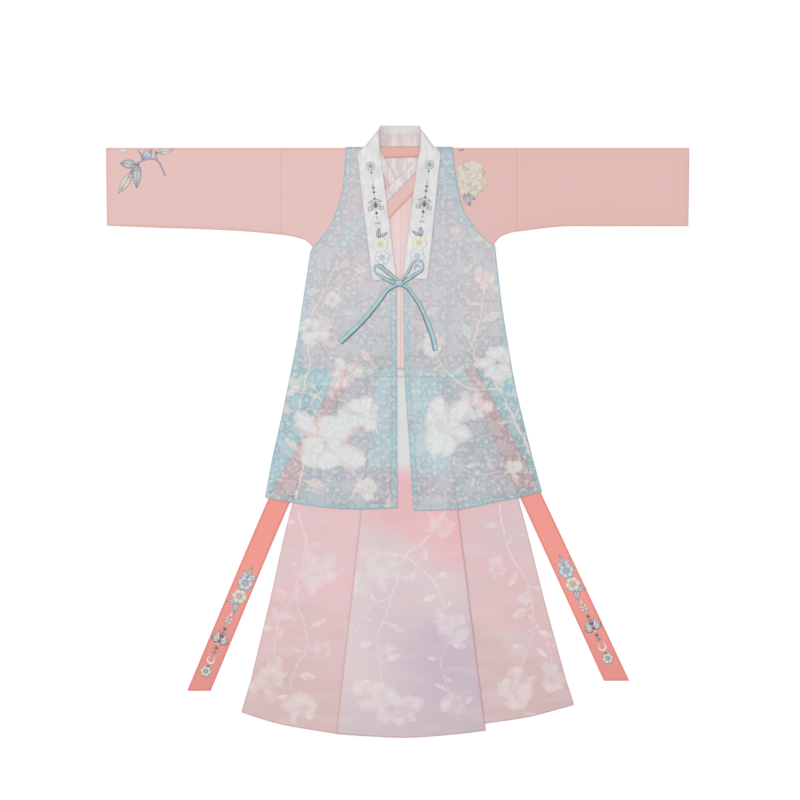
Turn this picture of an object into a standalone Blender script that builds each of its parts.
"""A three-piece hanfu laid flat: a crossed-collar top, a sheer long vest over it and a pleated skirt.

Sizes are in millimetres on the way in and metres in the scene. X runs to the right of the garment
as it is seen from above, Y towards its collar and Z up from the surface that it lies on.
"left" and "right" in names are the sides at -X and +X, not the wearer's.
"""

import math
from collections import namedtuple

import bmesh
import bpy
import numpy as np
from mathutils import Vector
from mathutils.geometry import delaunay_2d_cdt

MM = 0.001

# Cloth
THICK = 1.0  # wall of every piece of cloth
GAP = 0.3  # between one piece and the next, and at seams
HALF_SEAM = GAP / 2
STEEPEST = 0.13  # how steeply cloth comes down beside what it lies on
TURN_STEPS = 4  # flats round each fold
SHARP_ANGLE = 40  # degrees

# Grid that every piece is bent on, so that stacked pieces stay a constant distance apart
CELL_X, CELL_Y = 40.0, 56.0
COLUMNS, ROWS = 42, 32
GRID_X, GRID_Y = 8.0 - 21 * CELL_X, -16 * CELL_Y
MERGE = 0.01  # points nearer than this are one

# How far apart the points of a curved edge are
FINE, MEDIUM, COARSE = 30.0, 55.0, 90.0
TIE_FINE = 10.0

# Top
SHOULDER_Y = 728.7  # fold from cuff to cuff
CENTRE_X = 4.0  # middle of the body, where the halves of the back are sewn
FRONT_SEAM_X = 8.0  # where the overlapping panel is sewn to its front
TOP_HEM_Y = 161.0
UNDERLAP_HEM_X = 150.0  # inner corner of the front that lies under
CUFF_X = 750.0
BACK_NECK_Y = 712.0  # lowest point of the back of the neck
COLLAR_WHITE = 0.43  # share of the collar that the white neckband covers
SLEEVE_PUFF = 1.6  # how far the layers of a sleeve stand apart along its middle
PUFF_X = (300.0, 790.0)  # where that begins and ends, from the middle of the garment
PUFF_Y = (500.0, 730.0)
PUFF_EASE = 90.0

# Vest
VEST_SHOULDER_Y = 729.7
VEST_HEM_CENTRE_Y = -195.0
FACING = 18.0  # down the front edges and along the hem
ARMHOLE_FACING = 13.0
FACING_INSET = 0.6

# Skirt
WAIST_Y, WAISTBAND_TOP_Y = 140.0, 191.5
WAIST_LEFT, WAIST_RIGHT = -148.0, 199.0
WAIST_SEAM = 0.8  # the pleats' folds bulge up towards the waistband a little
PLEAT_WAIST, PLEAT_HEM = 40.0, 60.0  # how far each pleat turns under at the waist and at the hem
HIDDEN_HEM = 4.0  # how much higher the layers behind end

Point = namedtuple("Point", "x y")
Sides = namedtuple("Sides", "y left right")
Across = namedtuple("Across", "outer_x outer_y inner_x inner_y")
Station = namedtuple("Station", "x y width")
Half = namedtuple("Half", "sign sleeve_seam_x top_neck_x vest_neck_x")
Waves = namedtuple("Waves", "count size top_y phase")

HALVES = {
    "left": Half(-1, -300.0, -99.0, -90.0),
    "right": Half(1, 307.5, 106.0, 99.5),
}

# Soft waves that fan out downwards from a point above the middle of the garment
SIDE_WAVES = Waves(9, 1.6, WAIST_Y, 0.7)
CENTRE_WAVES = Waves(7, 1.6, WAIST_Y, 2.0)
VEST_WAVES = Waves(8, 1.4, 380.0, 1.2)
FAN_X, FAN_RISE = 20.0, 650.0  # the point, measured up from where the waves begin
WAVE_EASE = 500.0  # how far down they reach their full size

# Lower edge of each sleeve, from the cuff to its seam
UNDERARM = {
    "left": (Point(-747.5, 531), Point(-575, 525), Point(-413, 518.5), Point(-300, 508)),
    "right": (Point(747.5, 530), Point(547, 530), Point(415, 529), Point(307.5, 516)),
}
# Edge of the body from the sleeve's seam to the side seam
ARMPIT = {
    "left": (Point(-300, 508), Point(-262, 501), Point(-236, 492), Point(-219, 477)),
    "right": (Point(307.5, 516), Point(283, 510), Point(262, 500), Point(245, 480)),
}
TOP_SIDES = (Sides(440, -221, 247), Sides(338, -232, 258), Sides(161, -251, 275))
BACK_NECK = {"left": Point(-60, 718), "right": Point(68, 718)}

# The crossed collar of the top, sewn to the front along its outer edge
OVERLAP_COLLAR = (
    Across(99, 724, 66, 757),
    Across(94, 700, 59, 724),
    Across(76, 663, 48, 699),
    Across(41, 615.5, 0, 651),
    Across(-20, 550, -60, 591),
    Across(-99, 465, -139, 505),
    Across(-180, 379, -212, 423),
    Across(-230, 329, -225, 406),
)
UNDERLAP_COLLAR = (
    Across(-86, 720, -60, 755),
    Across(-81, 678, -33, 704),
    Across(-52, 625, -4, 652),
    Across(12, 511, 60, 538),
    Across(75, 399, 123, 426),
    Across(118, 322, 166, 349),
)

# What shows of the back of the neck through the opening
NECK_FACING_TOP = (Point(-82, 701), Point(92, 708))
NECK_FACING_EDGE = (Point(88, 650), Point(5, 596), Point(-78, 646))
COLLAR_BEHIND = (
    Point(-55, 764),
    Point(-84, 724),
    Point(-83, 702),
    Point(93, 709),
    Point(92, 724),
    Point(66, 764),
)
NECKBAND_BEHIND = (Point(-55, 764.6), Point(-77, 733), Point(87, 733), Point(66, 764.6))

ARMHOLE = {
    "left": (
        Point(-133, VEST_SHOULDER_Y),
        Point(-138.5, 648),
        Point(-149, 594),
        Point(-174, 529),
        Point(-217, 475),
        Point(-224, 464),
    ),
    "right": (
        Point(142, VEST_SHOULDER_Y),
        Point(149, 665),
        Point(164, 586),
        Point(193.5, 532),
        Point(223, 498),
        Point(250, 479),
    ),
}
VEST_SIDES = (
    Sides(338, -243, 266),
    Sides(235, -258.5, 282),
    Sides(132, -279, 300),
    Sides(30, -300, 323),
    Sides(-73, -323, 349),
)
# Each hem from the side seam to the front edge
VEST_HEM = {
    "left": (Point(-341, -170), Point(-207, -193), Point(-104, -200), Point(-0.5, -197)),
    "right": (Point(371.5, -156), Point(260, -180.5), Point(157, -200), Point(41.5, -203.5)),
}
FRONT_EDGE = {
    "left": (Point(-2.5, 388), Point(-1.5, 100)),
    "right": (Point(15, 392), Point(16.5, 162), Point(29, -24)),
}
VEST_NECK = {
    "left": (Point(-60, 712), Point(-11, 402), Point(-5, 389)),
    "right": (Point(70, 712), Point(60, 690), Point(25, 405), Point(18, 393)),
}

# White collar of the vest: its turn at each side of the neck, then its outer and inner edges
COLLAR_TURN = {
    "left": (Point(-81.8, 730.2), Point(-46, 779)),
    "right": (Point(90.9, 730.2), Point(58, 779.2)),
}
COLLAR_TOP = (Point(60, 784), Point(55, 787), Point(-43, 787), Point(-48, 784))
COLLAR_OUTER = {
    "left": (Point(-88, 731), Point(-102, 717), Point(-103.5, 706), Point(-65, 388.5)),
    "right": (Point(97.5, 731), Point(109.5, 717), Point(110.5, 706), Point(77.5, 390)),
}
COLLAR_INNER = {
    "left": (Point(-47, 763), Point(-45, 724), Point(-2, 394)),
    "right": (Point(60.5, 763), Point(59, 732), Point(50, 683), Point(14, 397.5)),
}

SKIRT_SIDES = (
    Sides(140, WAIST_LEFT, WAIST_RIGHT),
    Sides(60, -182, 233),
    Sides(-60, -230, 277),
    Sides(-228, -281.5, 325.5),
    Sides(-433, -328, 377),
    Sides(-639, -377, 433.5),
)
# The folds at the edges of the centre panel
PLEAT = {
    "left": (Point(-55, WAIST_Y), Point(-157, -777)),
    "right": (Point(112, WAIST_Y), Point(225, -769)),
}
HEM_CENTRE = (Point(-157, -777), Point(34, -787), Point(225, -769))
# The hem of each side panel from the side seam to the pleat
HEM_SIDE = {
    "left": (Point(-401.5, -722), Point(-295, -754), Point(-157, -777)),
    "right": (Point(453.5, -703), Point(337, -733.5), Point(225, -751)),
}
HEM_BEHIND = (
    Point(-401, -718),
    Point(-295, -750),
    Point(-157, -773),
    Point(34, -779),
    Point(225, -747),
    Point(337, -729.5),
    Point(453, -699),
)

RIBBON = {
    "left": (
        Sides(166, -142, -112),
        Sides(122, -163, -128),
        Sides(-22, -250, -198),
        Sides(-178, -334, -276),
        Sides(-667, -541, -481),
    ),
    "right": (
        Sides(168, 165, 194),
        Sides(122, 190, 225),
        Sides(-15, 245, 297),
        Sides(-163, 313, 371),
        Sides(-641, 531, 596),
    ),
}

# Ties of the vest, from under the knot outwards
TAIL = {
    "left": (
        Station(3, 378.5, 8),
        Station(-12, 372, 9),
        Station(-26.5, 363, 10),
        Station(-45, 338, 11),
        Station(-82, 292, 12),
        Station(-116, 258, 13),
        Station(-147, 229, 13),
    ),
    "right": (
        Station(8, 378, 8),
        Station(27, 368, 9),
        Station(40, 350, 10),
        Station(56, 327, 11),
        Station(70, 297, 12),
        Station(81.5, 269, 13),
        Station(91, 242, 13),
        Station(98, 208, 13),
    ),
}
LOOP = {
    "left": (
        Station(3, 386.5, 7),
        Station(-22, 407, 10),
        Station(-45, 425, 9),
        Station(-57, 426, 4),
        Station(-58.5, 412, 4),
        Station(-40, 398, 8),
        Station(-21, 387.5, 9),
        Station(2, 380, 5),
    ),
    "right": (
        Station(8, 387, 5),
        Station(26, 409, 7),
        Station(39, 433, 6),
        Station(48, 440.5, 4),
        Station(61, 438, 4),
        Station(66, 427, 4),
        Station(62, 415, 7),
        Station(42, 402, 9),
        Station(21, 387.5, 7),
        Station(9, 380.5, 5),
    ),
}
KNOT = Point(4, 381.5)
KNOT_SIZE = (24.0, 15.0, 6.5)
KNOT_SQUARE = 0.7  # 1 is an ellipse, less is fuller at its corners

# Base colour, roughness
CLOTHS = {
    "top_pink": ((0.80, 0.52, 0.48), 0.75),
    "collar_coral": ((0.78, 0.44, 0.40), 0.70),
    "neckband_white": ((0.85, 0.80, 0.80), 0.45),
    "vest_sheer": ((0.42, 0.58, 0.63), 0.60),
    "vest_edge": ((0.30, 0.48, 0.53), 0.60),
    "vest_collar_white": ((0.86, 0.85, 0.87), 0.35),
    "skirt_print": ((0.80, 0.62, 0.65), 0.60),
    "ribbon_coral": ((0.80, 0.34, 0.29), 0.65),
}


def curve(points, spacing=MEDIUM):
    """A smooth line through the points, with a point about every spacing."""
    ends = [points[0], *points, points[-1]]
    line = []
    for before, start, end, after in zip(ends, ends[1:], ends[2:], ends[3:]):
        steps = max(1, round(math.dist(start, end) / spacing))
        for step in range(steps):
            t = step / steps
            line.append(
                tuple(
                    b + t * (c - a + t * (2 * a - 5 * b + 4 * c - d + t * (3 * b - a - 3 * c + d))) / 2
                    for a, b, c, d in zip(before[:2], start[:2], end[:2], after[:2])
                )
            )
    return [*line, tuple(points[-1][:2])]


def moved(line, x, y):
    return [(point[0] + x, point[1] + y) for point in line]


def side(rows, name):
    """The points down one column of a table of sides."""
    return [Point(getattr(row, name), row.y) for row in rows]


def normals(line):
    """The unit normal to the left of the line at each of its points."""
    found = []
    for index in range(len(line)):
        before, after = line[max(index - 1, 0)], line[min(index + 1, len(line) - 1)]
        along = Vector((after[0] - before[0], after[1] - before[1])).normalized()
        found.append(Vector((-along.y, along.x)))
    return found


def beside(line, distance):
    """The line moved to its left by a distance, with its corners kept."""
    directions = [(Vector(b[:2]) - Vector(a[:2])).normalized() for a, b in zip(line, line[1:])]
    found = []
    for index, point in enumerate(line):
        first = directions[max(index - 1, 0)]
        second = directions[min(index, len(directions) - 1)]
        left = Vector((-first.y - second.y, first.x + second.x)).normalized()
        reach = distance / left.dot(Vector((-first.y, first.x)))
        found.append((point[0] + left.x * reach, point[1] + left.y * reach))
    return found


def at_x(line, x):
    """The height of a line where it passes an x."""
    for start, end in zip(line, line[1:]):
        if min(start[0], end[0]) <= x <= max(start[0], end[0]):
            return start[1] + (end[1] - start[1]) * (x - start[0]) / (end[0] - start[0])
    raise ValueError(x)


def strip(stations):
    """The outline of a band that follows the stations, each with its own width."""
    line = curve(stations, TIE_FINE)
    along = [0.0]
    for start, end in zip(line, line[1:]):
        along.append(along[-1] + math.dist(start, end))
    lengths = [0.0]
    for start, end in zip(stations, stations[1:]):
        lengths.append(lengths[-1] + math.dist(start[:2], end[:2]))
    share = [distance / along[-1] for distance in along]
    widths = np.interp(share, [d / lengths[-1] for d in lengths], [s.width for s in stations])
    left, right = [], []
    for point, normal, width in zip(line, normals(line), widths):
        left.append((point[0] + normal.x * width / 2, point[1] + normal.y * width / 2))
        right.append((point[0] - normal.x * width / 2, point[1] - normal.y * width / 2))
    return [*left, *reversed(right)]


def place(x, y):
    """The cell of the grid that holds a point, and where in the cell it lies."""
    across, up = (x - GRID_X) / CELL_X, (y - GRID_Y) / CELL_Y
    i, j = math.floor(across), math.floor(up)
    return i, j, across - i, up - j


def height(field, x, y):
    """The height at a point of a surface given at the points of the grid."""
    i, j, across, up = place(x, y)
    near, far = field[i, j], field[i + 1, j + 1]
    if across > up:
        return near + across * (field[i + 1, j] - near) + up * (far - field[i + 1, j])
    return near + up * (field[i, j + 1] - near) + across * (far - field[i, j + 1])


class Flat:
    """An outline cut into triangles along the grid."""

    def __init__(self, outline):
        area = sum(a[0] * b[1] - b[0] * a[1] for a, b in zip(outline, [*outline[1:], outline[0]]))
        if area < 0:
            outline = outline[::-1]
        left, bottom, _, _ = place(min(p[0] for p in outline), min(p[1] for p in outline))
        right, top, _, _ = place(max(p[0] for p in outline), max(p[1] for p in outline))
        points = [Vector(p[:2]) for p in outline]
        index = {}
        for i in range(left, right + 2):
            for j in range(bottom, top + 2):
                index[i, j] = len(points)
                points.append(Vector((GRID_X + i * CELL_X, GRID_Y + j * CELL_Y)))
        edges = [
            (number, index[i + along, j + up])
            for (i, j), number in index.items()
            for along, up in ((1, 0), (0, 1), (1, 1))
            if (i + along, j + up) in index
        ]
        made = delaunay_2d_cdt(points, edges, [list(range(len(outline)))], 0, MERGE)
        self.points = [tuple(point) for point in made[0]]
        self.faces = [face for face, inside in zip(made[2], made[5]) if inside]
        self.covered = np.zeros((COLUMNS + 1, ROWS + 1), bool)
        for face in self.faces:
            x = sum(self.points[corner][0] for corner in face) / 3
            y = sum(self.points[corner][1] for corner in face) / 3
            i, j, across, up = place(x, y)
            self.covered[i, j] = self.covered[i + 1, j + 1] = True
            self.covered[(i + 1, j) if across > up else (i, j + 1)] = True


class Pile:
    """The cloth laid so far, as the height of its upper surface at the points of the grid."""

    def __init__(self):
        self.top = np.zeros((COLUMNS + 1, ROWS + 1))
        x = GRID_X + CELL_X * np.arange(COLUMNS + 1)
        y = GRID_Y + CELL_Y * np.arange(ROWS + 1)
        self.x, self.y = np.meshgrid(x, y, indexing="ij")

    def draped(self, lift):
        """The lowest surface over the heights that is nowhere too steep."""
        under = lift.copy()
        reach = lift.max() / STEEPEST
        across, up = int(reach / CELL_X) + 1, int(reach / CELL_Y) + 1
        wide = np.pad(lift, ((across, across), (up, up)))
        for i in range(-across, across + 1):
            for j in range(-up, up + 1):
                fall = STEEPEST * math.hypot(i * CELL_X, j * CELL_Y)
                beside_it = wide[across + i :, up + j :][: COLUMNS + 1, : ROWS + 1]
                under = np.maximum(under, beside_it - fall)
        return under

    def lay(self, flats, loft=None):
        """The underside of pieces laid side by side on the pile, which grows by them."""
        under = self.draped(np.where(self.top > 0, self.top + GAP, 0.0))
        if loft is not None:
            under = under + loft(self.x, self.y)
        for flat in flats:
            self.top = np.where(flat.covered, under + THICK, self.top)
        return under


def sleeve_puff(x, y):
    """Sleeves lie a little open along their middle."""
    puff = 1.0
    for along, (start, end) in ((np.abs(x), PUFF_X), (y, PUFF_Y)):
        puff = puff * np.clip((along - start) / PUFF_EASE, 0, 1)
        puff = puff * np.clip((end - along) / PUFF_EASE, 0, 1)
    return GAP + SLEEVE_PUFF * puff


def waves(kind):
    """The loft of one kind of waves."""

    def loft(x, y):
        fall = np.clip((kind.top_y - y) / WAVE_EASE, 0, 1)
        fan = np.arctan2(x - FAN_X, kind.top_y + FAN_RISE - y)
        return kind.size * fall * (0.5 + 0.5 * np.cos(kind.count * 2 * math.pi * fan + kind.phase))

    return loft


class Cloth:
    """One piece of cloth, built as the surface half way through its thickness."""

    def __init__(self, name, cloth):
        self.name, self.cloth = name, cloth
        self.bm = bmesh.new()
        self.layers = []

    def add_layer(self, flat, under):
        """A layer whose underside is the surface under."""
        points = {}
        for corner in sorted({corner for face in flat.faces for corner in face}):
            x, y = flat.points[corner]
            z = height(under, x, y) + THICK / 2
            points[corner] = self.bm.verts.new((x * MM, y * MM, z * MM))
        for face in flat.faces:
            self.bm.faces.new([points[corner] for corner in face])
        self.layers.append(list(points.values()))

    def turn(self, line, outward, lower=0, upper=-1):
        """Joins two layers by a half round along a line that both end at."""
        low, high = on_line(self.layers[lower], line), on_line(self.layers[upper], line)
        across = [n if n.dot(Vector(outward)) > 0 else -n for n in normals([vert.co for vert in low])]
        rows = [low]
        for step in range(1, TURN_STEPS):
            angle = math.pi * (step / TURN_STEPS - 0.5)
            row = []
            for below, above, out in zip(low, high, across):
                radius = (above.co.z - below.co.z) / 2
                reach = out * radius * math.cos(angle)
                middle = (below.co + above.co) / 2
                row.append(self.bm.verts.new(middle + Vector((*reach, radius * math.sin(angle)))))
            rows.append(row)
        rows.append(high)
        for first, second in zip(rows, rows[1:]):
            for a, b, c, d in zip(first, first[1:], second[1:], second):
                self.bm.faces.new((a, b, c, d))

    def finish(self):
        bmesh.ops.recalc_face_normals(self.bm, faces=self.bm.faces)
        obj = new_object(self.name, self.bm, self.cloth)
        wall = obj.modifiers.new("Wall", "SOLIDIFY")
        wall.thickness = THICK * MM
        wall.offset = 0.0
        wall.use_even_offset = True
        wall.use_quality_normals = True


def on_line(verts, line):
    """The points that lie on a line, in order along it."""
    found = {}
    gone = 0.0
    for start, end in zip(line, line[1:]):
        start, end = Vector(start[:2]) * MM, Vector(end[:2]) * MM
        length = (end - start).length
        along = (end - start) / length
        for vert in verts:
            offset = vert.co.xy - start
            t = offset.dot(along)
            if abs(offset.cross(along)) < MERGE * MM and -MERGE * MM < t < length + MERGE * MM:
                found.setdefault(vert, gone + t)
        gone += length
    return sorted(found, key=found.get)


def new_object(name, bm, cloth):
    mesh = bpy.data.meshes.new(name)
    bm.to_mesh(mesh)
    bm.free()
    mesh.materials.append(cloth_material(cloth))
    mesh.shade_smooth()
    mesh.set_sharp_from_angle(angle=math.radians(SHARP_ANGLE))
    obj = bpy.data.objects.new(name, mesh)
    bpy.context.scene.collection.objects.link(obj)
    return obj


def cloth_material(name):
    """The plain material of one of the cloths, made once."""
    if name in bpy.data.materials:
        return bpy.data.materials[name]
    material = bpy.data.materials.new(name)
    material.use_nodes = True
    shader = material.node_tree.nodes["Principled BSDF"]
    colour, roughness = CLOTHS[name]
    shader.inputs["Base Color"].default_value = (*colour, 1.0)
    shader.inputs["Roughness"].default_value = roughness
    shader.inputs["Metallic"].default_value = 0.0
    return material


def lay(pile, pieces, loft=None):
    """Adds a layer to each of the pieces, pairs of a cloth and an outline, side by side on the pile."""
    flats = [Flat(outline) for _, outline in pieces]
    under = pile.lay(flats, loft)
    for (piece, _), flat in zip(pieces, flats):
        piece.add_layer(flat, under)


def lay_single(pile, cloth, outlines, loft=None):
    """Lays pieces of one layer, a dictionary of outlines, side by side."""
    pieces = [(Cloth(name, cloth), outline) for name, outline in outlines.items()]
    lay(pile, pieces, loft)
    for piece, _ in pieces:
        piece.finish()


def vest_side(name):
    """The armhole and the side seam of the vest, down to the hem."""
    return [*curve(ARMHOLE[name]), *curve([*side(VEST_SIDES, name), VEST_HEM[name][0]], COARSE)]


def lay_vest_back(pile, vest, vest_collar):
    left, right = COLLAR_TURN["left"], COLLAR_TURN["right"]
    pieces = [(vest_collar, [left[0], *right, *COLLAR_TOP, left[1]])]
    for name, half in HALVES.items():
        seam_x = CENTRE_X + half.sign * HALF_SEAM
        outline = [
            (seam_x, VEST_SHOULDER_Y),
            (half.vest_neck_x, VEST_SHOULDER_Y),
            *vest_side(name)[:-1],
            *moved(curve(VEST_HEM[name][:3]), 0, HIDDEN_HEM),
            (seam_x, VEST_HEM_CENTRE_Y),
        ]
        pieces.append((vest[name], outline))
    lay(pile, pieces)


def top_side(name):
    """The edge of the top's body from the sleeve's seam to the hem."""
    start = Point(ARMPIT[name][0].x - HALVES[name].sign * HALF_SEAM, ARMPIT[name][0].y)
    return [*curve([start, *ARMPIT[name][1:]], FINE), *curve(side(TOP_SIDES, name), COARSE)]


def sleeve_outline(name):
    """From the top of the sleeve's seam out along the shoulder, then back along its lower edge."""
    sign = HALVES[name].sign
    seam_x = HALVES[name].sleeve_seam_x + sign * HALF_SEAM
    underarm = [*UNDERARM[name][:-1], Point(seam_x, UNDERARM[name][-1].y)]
    return [(seam_x, SHOULDER_Y), (sign * CUFF_X, SHOULDER_Y), *curve(underarm)]


def shoulder_line(name):
    """The fold of the top's body from its neck to the sleeve."""
    half = HALVES[name]
    return [(half.top_neck_x, SHOULDER_Y), (half.sleeve_seam_x - half.sign * HALF_SEAM, SHOULDER_Y)]


def lay_top_back(pile, top, sleeves):
    pieces = []
    for name, half in HALVES.items():
        seam_x = CENTRE_X + half.sign * HALF_SEAM
        outline = [
            (seam_x, BACK_NECK_Y),
            BACK_NECK[name],
            *shoulder_line(name),
            *top_side(name),
            (seam_x, TOP_HEM_Y),
        ]
        pieces.append((top[name], outline))
        pieces.append((sleeves[name], sleeve_outline(name)))
    lay(pile, pieces)


def lay_back_of_neck(pile):
    lay_single(pile, "neckband_white", {"top_neck_facing": [*NECK_FACING_TOP, *curve(NECK_FACING_EDGE)]})
    lay_single(pile, "collar_coral", {"top_collar_back": COLLAR_BEHIND})
    lay_single(pile, "neckband_white", {"top_neckband_back": NECKBAND_BEHIND})


def waistband_outline():
    bottom_y = WAIST_Y + WAIST_SEAM
    return [
        (WAIST_LEFT, bottom_y),
        (WAIST_RIGHT, bottom_y),
        (WAIST_RIGHT, WAISTBAND_TOP_Y),
        (WAIST_LEFT, WAISTBAND_TOP_Y),
    ]


def pleat_inside(name):
    """The hidden edge of a pleat, from the hem to the waist."""
    top, bottom = PLEAT[name]
    sign = HALVES[name].sign
    return [(bottom.x - sign * PLEAT_HEM, bottom.y), (top.x - sign * PLEAT_WAIST, top.y)]


def lay_skirt(pile):
    """The back, the side panels that run on under the pleats, then the centre panel and its turns."""
    edges = {name: curve(side(SKIRT_SIDES, name), COARSE) for name in HALVES}
    back = Cloth("skirt_back", "skirt_print")
    waistband = Cloth("skirt_waistband", "skirt_print")
    outline = [*edges["left"], *curve(HEM_BEHIND, COARSE), *reversed(edges["right"])]
    lay(pile, [(back, outline), (waistband, waistband_outline())])
    back.finish()

    side_panels = {}
    for name in HALVES:
        inside = [(pleat_inside(name)[0][0], HEM_SIDE[name][-1].y), pleat_inside(name)[1]]
        side_panels[f"skirt_side_{name}"] = [*edges[name], *curve(HEM_SIDE[name]), *inside]
    lay_single(pile, "skirt_print", side_panels, waves(SIDE_WAVES))

    centre = Cloth("skirt_centre", "skirt_print")
    lay(pile, [(centre, [*PLEAT[name], *pleat_inside(name)]) for name in HALVES])
    outline = [PLEAT["left"][0], *curve(HEM_CENTRE), PLEAT["right"][0]]
    loft = waves(CENTRE_WAVES)
    lay(pile, [(centre, outline), (waistband, waistband_outline())], lambda x, y: GAP + loft(x, y))
    for lower, name in enumerate(HALVES):
        centre.turn(PLEAT[name], (HALVES[name].sign, 0), lower)
    centre.finish()
    bottom_left, bottom_right, top_right, top_left = waistband_outline()
    waistband.turn([bottom_left, top_left], (-1, 0))
    waistband.turn([bottom_right, top_right], (1, 0))
    waistband.finish()


def lay_ribbons(pile):
    ribbons = {
        f"skirt_ribbon_{name}": [
            *curve(side(rows, "left"), COARSE),
            *reversed(curve(side(rows, "right"), COARSE)),
        ]
        for name, rows in RIBBON.items()
    }
    lay_single(pile, "ribbon_coral", ribbons)


def collar_strip(rows, width):
    """The outline of a crossed collar, over a share of its width from its inner edge."""
    inner = curve([Point(row.inner_x, row.inner_y) for row in rows])
    outer = curve(
        [
            Point(
                row.inner_x + width * (row.outer_x - row.inner_x),
                row.inner_y + width * (row.outer_y - row.inner_y),
            )
            for row in rows
        ]
    )
    return [*inner, *reversed(outer)]


def collar_seam(rows):
    """The seam between a front of the top and its collar."""
    return curve([Point(row.outer_x, row.outer_y) for row in rows])


def finish_sleeve(sleeve, name):
    """A flat tube, open at the cuff and at the seam with the body."""
    outline = sleeve_outline(name)
    sleeve.turn(outline[:2], (0, 1))
    sleeve.turn(outline[2:], (0, -1))
    sleeve.finish()


def lay_underlap(pile, body, sleeve):
    """The front that lies under, with its sleeve, collar and neckband."""
    front = [
        *shoulder_line("left"),
        *top_side("left"),
        (UNDERLAP_HEM_X, TOP_HEM_Y),
        *moved(reversed(collar_seam(UNDERLAP_COLLAR)), -GAP, -GAP),
    ]
    collar = Cloth("top_collar_underlap", "collar_coral")
    pieces = [(body, front), (collar, collar_strip(UNDERLAP_COLLAR, 1)), (sleeve, sleeve_outline("left"))]
    lay(pile, pieces, sleeve_puff)
    body.turn(shoulder_line("left"), (0, 1))
    body.finish()
    finish_sleeve(sleeve, "left")
    collar.finish()
    neckband = collar_strip(UNDERLAP_COLLAR, COLLAR_WHITE)
    lay_single(pile, "neckband_white", {"top_neckband_underlap": neckband})


def lay_overlap(pile, body, sleeve):
    """The front that lies over, with the panel sewn to it, its sleeve, collar and neckband."""
    seam = moved(collar_seam(OVERLAP_COLLAR), GAP, -GAP)
    meet_y = at_x(seam, FRONT_SEAM_X)
    neck_side = [point for point in seam if point[0] > FRONT_SEAM_X + HALF_SEAM]
    panel_side = [point for point in seam if point[0] < FRONT_SEAM_X - HALF_SEAM]
    front = [
        shoulder_line("right")[0],
        *neck_side,
        (FRONT_SEAM_X + HALF_SEAM, meet_y),
        (FRONT_SEAM_X + HALF_SEAM, TOP_HEM_Y),
        *reversed(top_side("right")),
        shoulder_line("right")[1],
    ]
    panel = [
        (FRONT_SEAM_X - HALF_SEAM, meet_y),
        *panel_side,
        *[point for point in top_side("left") if point[1] < panel_side[-1][1]],
        (FRONT_SEAM_X - HALF_SEAM, TOP_HEM_Y),
    ]
    overlap_panel = Cloth("top_overlap_panel", "top_pink")
    collar = Cloth("top_collar_overlap", "collar_coral")
    pieces = [
        (body, front),
        (overlap_panel, panel),
        (collar, collar_strip(OVERLAP_COLLAR, 1)),
        (sleeve, sleeve_outline("right")),
    ]
    lay(pile, pieces, sleeve_puff)
    body.turn(shoulder_line("right"), (0, 1))
    body.finish()
    finish_sleeve(sleeve, "right")
    overlap_panel.finish()
    collar.finish()
    neckband = collar_strip(OVERLAP_COLLAR, COLLAR_WHITE)
    lay_single(pile, "neckband_white", {"top_neckband_overlap": neckband})


def vest_edge(name):
    """The front edge of the vest and its hem out to the side seam."""
    return [*FRONT_EDGE[name], *reversed(curve(VEST_HEM[name]))]


def lay_vest_facings(pile):
    """The turned-in strips that show as darker borders through the vest."""
    facings = {}
    for name, half in HALVES.items():
        line = vest_edge(name)
        outer, inner = beside(line, half.sign * FACING_INSET), beside(line, half.sign * FACING)
        facings[f"vest_front_facing_{name}"] = [*outer[:-1], *reversed(inner[:-1])]
        line = curve(ARMHOLE[name], FINE)[1:-1]
        outer, inner = beside(line, -half.sign * FACING_INSET), beside(line, -half.sign * ARMHOLE_FACING)
        facings[f"vest_armhole_facing_{name}"] = [*outer, *reversed(inner)]
    lay_single(pile, "vest_edge", facings)


def lay_vest_fronts(pile, vest):
    pieces = []
    for name, half in HALVES.items():
        outline = [
            (half.vest_neck_x, VEST_SHOULDER_Y),
            *VEST_NECK[name],
            *vest_edge(name),
            *reversed(vest_side(name)[:-1]),
        ]
        pieces.append((vest[name], outline))
    lay(pile, pieces, waves(VEST_WAVES))
    for name, half in HALVES.items():
        vest[name].turn([(half.vest_neck_x, VEST_SHOULDER_Y), ARMHOLE[name][0]], (0, 1))
        vest[name].finish()


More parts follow.
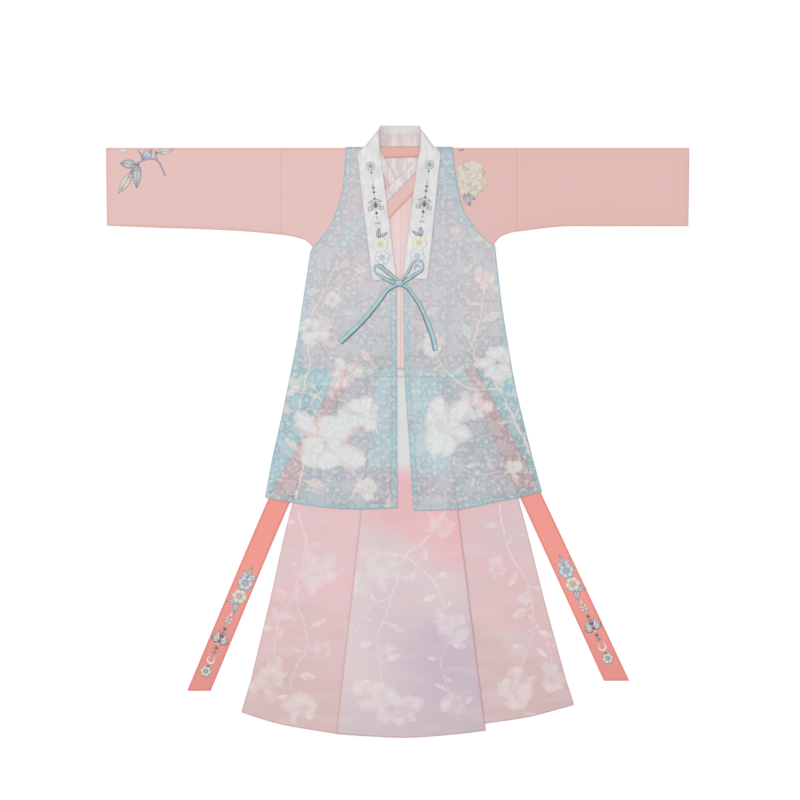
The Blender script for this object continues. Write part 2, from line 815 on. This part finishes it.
def lay_vest_collar(pile, vest_collar):
    """The bands down both fronts, turned over from the collar's back at the sides of the neck."""
    pieces = []
    for name in HALVES:
        band = [*COLLAR_TURN[name], *COLLAR_INNER[name], *reversed(COLLAR_OUTER[name])]
        pieces.append((vest_collar, band))
    lay(pile, pieces)
    for upper, (name, half) in enumerate(HALVES.items(), 1):
        vest_collar.turn(COLLAR_TURN[name], (half.sign, 1), upper=upper)
    vest_collar.finish()


def lay_ties(pile):
    for kind, ties in (("tail", TAIL), ("loop", LOOP)):
        outlines = {f"tie_{kind}_{name}": strip(stations) for name, stations in ties.items()}
        lay_single(pile, "vest_edge", outlines)


def build_knot(pile):
    """The knot of the bow: a low rounded lump on the ends of the ties."""
    bm = bmesh.new()
    bmesh.ops.create_uvsphere(bm, u_segments=16, v_segments=8, radius=1)
    for vert in bm.verts:
        x, y = (math.copysign(abs(value) ** KNOT_SQUARE, value) / 2 for value in vert.co.xy)
        z = max(vert.co.z, 0)
        vert.co = Vector((KNOT.x + x * KNOT_SIZE[0], KNOT.y + y * KNOT_SIZE[1], z * KNOT_SIZE[2]))
    width, depth = KNOT_SIZE[0] / 2, KNOT_SIZE[1] / 2
    corners = [(KNOT.x + x * width, KNOT.y + y * depth) for x, y in ((-1, -1), (1, -1), (1, 1), (-1, 1))]
    under = pile.lay([Flat(corners)])
    seat = max(height(under, *vert.co.xy) for vert in bm.verts)
    for vert in bm.verts:
        vert.co = (vert.co + Vector((0, 0, seat))) * MM
    bmesh.ops.dissolve_limit(bm, angle_limit=math.radians(1), verts=bm.verts, edges=bm.edges)
    new_object("tie_knot", bm, "vest_edge")


def main():
    for obj in list(bpy.data.objects):
        bpy.data.objects.remove(obj)
    pile = Pile()
    vest = {name: Cloth(f"vest_{name}", "vest_sheer") for name in HALVES}
    vest_collar = Cloth("vest_collar", "vest_collar_white")
    top = {name: Cloth(f"top_{name}", "top_pink") for name in HALVES}
    sleeves = {name: Cloth(f"top_sleeve_{name}", "top_pink") for name in HALVES}
    lay_vest_back(pile, vest, vest_collar)
    lay_top_back(pile, top, sleeves)
    lay_back_of_neck(pile)
    lay_skirt(pile)
    lay_ribbons(pile)
    lay_underlap(pile, top["left"], sleeves["left"])
    lay_overlap(pile, top["right"], sleeves["right"])
    lay_vest_facings(pile)
    lay_vest_fronts(pile, vest)
    lay_vest_collar(pile, vest_collar)
    lay_ties(pile)
    build_knot(pile)


main()
